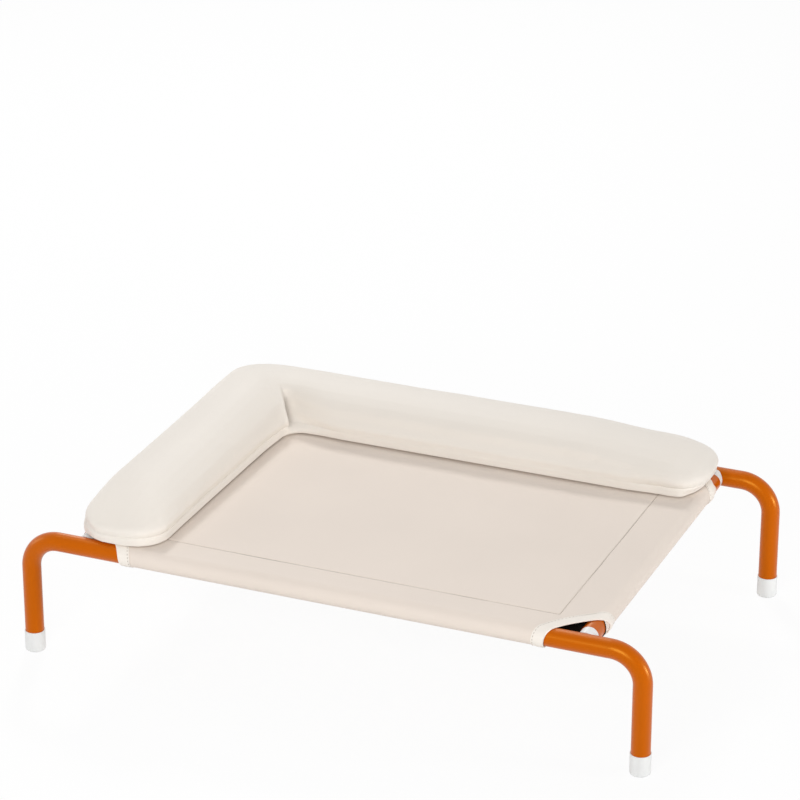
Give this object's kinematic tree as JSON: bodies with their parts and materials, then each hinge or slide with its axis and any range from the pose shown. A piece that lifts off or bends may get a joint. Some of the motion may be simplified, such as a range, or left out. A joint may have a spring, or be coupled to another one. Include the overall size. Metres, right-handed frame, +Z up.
{
  "type": "raised dog cot",
  "caption": "Low bent-tube pet cot with a taut cloth sling in edge sleeves, bound corner cut-outs, white end caps and a stuffed L-shaped bolster that lifts off.",
  "frame": {"origin": "centre of the rectangle of the feet, on the floor", "axes": "+X along the length towards the side with no bolster, +Y from the front to the back bolster arm, +Z up"},
  "size_m": [0.873, 0.5573, 0.2444],
  "materials": {
    "tube_enamel": "glossy orange powder coat on steel tube",
    "cap_plastic": "white moulded plastic",
    "sling_cloth": "cream coated cloth with a fine weave",
    "binding_cloth": "pale folded tape, sewn",
    "bolster_cloth": "smooth cream upholstery cloth",
    "stuffing": "loose white fibre",
    "hook_loop": "beige hook and loop tape",
    "zip_teeth": "beige moulded coil",
    "zip_metal": "satin die cast"
  },
  "bodies": {
    "frame": {"front_left_tube": "tube_enamel", "front_right_tube": "tube_enamel", "back_left_tube": "tube_enamel", "back_right_tube": "tube_enamel", "left_cross_tube": "tube_enamel", "right_cross_tube": "tube_enamel", "front_left_saddle": "cap_plastic", "front_right_saddle": "cap_plastic", "back_left_saddle": "cap_plastic", "back_right_saddle": "cap_plastic", "front_left_foot": "cap_plastic", "front_right_foot": "cap_plastic", "back_left_foot": "cap_plastic", "back_right_foot": "cap_plastic", "sling_panel": "sling_cloth", "front_sleeve": "sling_cloth", "back_sleeve": "sling_cloth", "left_sleeve": "sling_cloth", "right_sleeve": "sling_cloth", "front_left_binding": "binding_cloth", "front_right_binding": "binding_cloth", "back_left_binding": "binding_cloth", "back_right_binding": "binding_cloth", "loop_strips": "hook_loop"},
    "bolster": {"hook_strips": "hook_loop", "bolster_cover": "bolster_cloth", "bolster_band": "bolster_cloth", "bolster_base": "bolster_cloth", "bolster_core": "stuffing", "zip_teeth": "zip_teeth"},
    "zip_slider": {"zip_slider": "zip_metal"},
    "zip_pull": {"zip_pull": "zip_metal"}
  },
  "joints": [
    {"name": "bolster_lift", "type": "slide", "parent": "frame", "child": "bolster", "axis": [0, 0, 1], "range_m": [0, 0.15]},
    {"name": "zip_slide", "type": "slide", "parent": "bolster", "child": "zip_slider", "axis": [1, 0, 0], "range_m": [0, 0.417]},
    {"name": "zip_pull_swing", "type": "hinge", "parent": "zip_slider", "child": "zip_pull", "pos_m": [-0.156, 0.27678, 0.1874], "axis": [1, 0, 0], "range_deg": [0, 160]}
  ]
}
